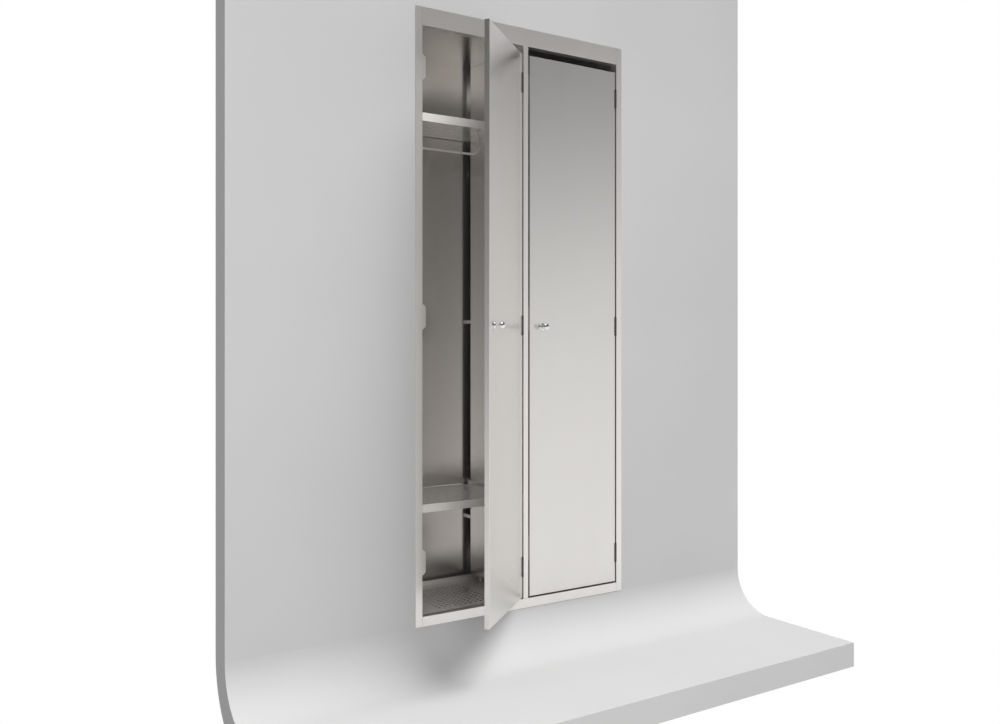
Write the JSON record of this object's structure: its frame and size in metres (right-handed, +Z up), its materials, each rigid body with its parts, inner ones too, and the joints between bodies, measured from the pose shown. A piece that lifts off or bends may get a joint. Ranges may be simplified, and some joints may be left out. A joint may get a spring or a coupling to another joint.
{
  "type": "recessed two-door locker",
  "caption": "Tall wall-recessed steel locker with side-by-side doors, perforated shelves and floor, bent coat rails, turn-knob latches and an air slot above each door.",
  "frame": {"origin": "on the back of the face frame where it lies on the wall, at the middle of its width and 8 mm above its lower edge", "axes": "+X to the right along the wall, +Y into the wall, +Z up"},
  "size_m": [0.864, 0.6251, 2],
  "materials": {
    "frame_steel": "satin, fine vertical grain",
    "casing_steel": "dull mill finish",
    "door_steel": "satin, fine vertical grain",
    "shelf_steel": "satin",
    "rail_steel": "polished bar",
    "hinge_steel": "dark, dull",
    "chrome": "polished",
    "zinc_steel": "zinc plated"
  },
  "bodies": {
    "cabinet": {"casing_back": "casing_steel", "casing_bottom": "casing_steel", "casing_left_side": "casing_steel", "casing_right_side": "casing_steel", "casing_top": "casing_steel", "frame_bottom_rail": "frame_steel", "frame_centre_stile": "frame_steel", "frame_left_stile": "frame_steel", "frame_right_stile": "frame_steel", "frame_top_rail": "frame_steel", "left_coat_rail": "rail_steel", "left_floor_plate": "shelf_steel", "left_hat_shelf": "shelf_steel", "left_latch_strike": "frame_steel", "left_lower_hinge_frame_leaf": "hinge_steel", "left_lower_hinge_pin": "hinge_steel", "left_lower_shelf": "shelf_steel", "left_lower_stop": "frame_steel", "left_middle_hinge_frame_leaf": "hinge_steel", "left_middle_hinge_pin": "hinge_steel", "left_upper_hinge_frame_leaf": "hinge_steel", "left_upper_hinge_pin": "hinge_steel", "left_upper_stop": "frame_steel", "partition_foot": "shelf_steel", "partition_left_skin": "casing_steel", "partition_right_skin": "casing_steel", "partition_spacer_lower": "shelf_steel", "partition_spacer_middle": "shelf_steel", "partition_spacer_upper": "shelf_steel", "right_coat_rail": "rail_steel", "right_floor_plate": "shelf_steel", "right_hat_shelf": "shelf_steel", "right_latch_strike": "frame_steel", "right_lower_hinge_frame_leaf": "hinge_steel", "right_lower_hinge_pin": "hinge_steel", "right_lower_shelf": "shelf_steel", "right_lower_stop": "frame_steel", "right_middle_hinge_frame_leaf": "hinge_steel", "right_middle_hinge_pin": "hinge_steel", "right_upper_hinge_frame_leaf": "hinge_steel", "right_upper_hinge_pin": "hinge_steel", "right_upper_stop": "frame_steel"},
    "left_door": {"left_door_inner_liner": "door_steel", "left_door_outer_skin": "door_steel", "left_knob_rose": "chrome", "left_lower_hinge_door_leaf": "hinge_steel", "left_middle_hinge_door_leaf": "hinge_steel", "left_upper_hinge_door_leaf": "hinge_steel"},
    "right_door": {"right_door_inner_liner": "door_steel", "right_door_outer_skin": "door_steel", "right_knob_rose": "chrome", "right_lower_hinge_door_leaf": "hinge_steel", "right_middle_hinge_door_leaf": "hinge_steel", "right_upper_hinge_door_leaf": "hinge_steel"},
    "left_latch": {"left_knob": "chrome", "left_latch_cam": "zinc_steel", "left_latch_spindle": "zinc_steel"},
    "right_latch": {"right_knob": "chrome", "right_latch_cam": "zinc_steel", "right_latch_spindle": "zinc_steel"}
  },
  "joints": [
    {"name": "left_door_swing", "type": "hinge", "parent": "cabinet", "child": "left_door", "pos_m": [-0.0141, -0.0028, 0.962], "axis": [0, 0, 1], "range_deg": [-40, 70]},
    {"name": "right_door_swing", "type": "hinge", "parent": "cabinet", "child": "right_door", "pos_m": [0.4029, -0.0028, 0.962], "axis": [0, 0, 1], "range_deg": [0, 110]},
    {"name": "left_latch_turn", "type": "hinge", "parent": "left_door", "child": "left_latch", "pos_m": [-0.27116, -0.21746, 0.962], "axis": [-0.6428, 0.766, 0], "range_deg": [0, 90]},
    {"name": "right_latch_turn", "type": "hinge", "parent": "right_door", "child": "right_latch", "pos_m": [0.068, -0.002, 0.962], "axis": [0, 1, 0], "range_deg": [0, 90]}
  ]
}
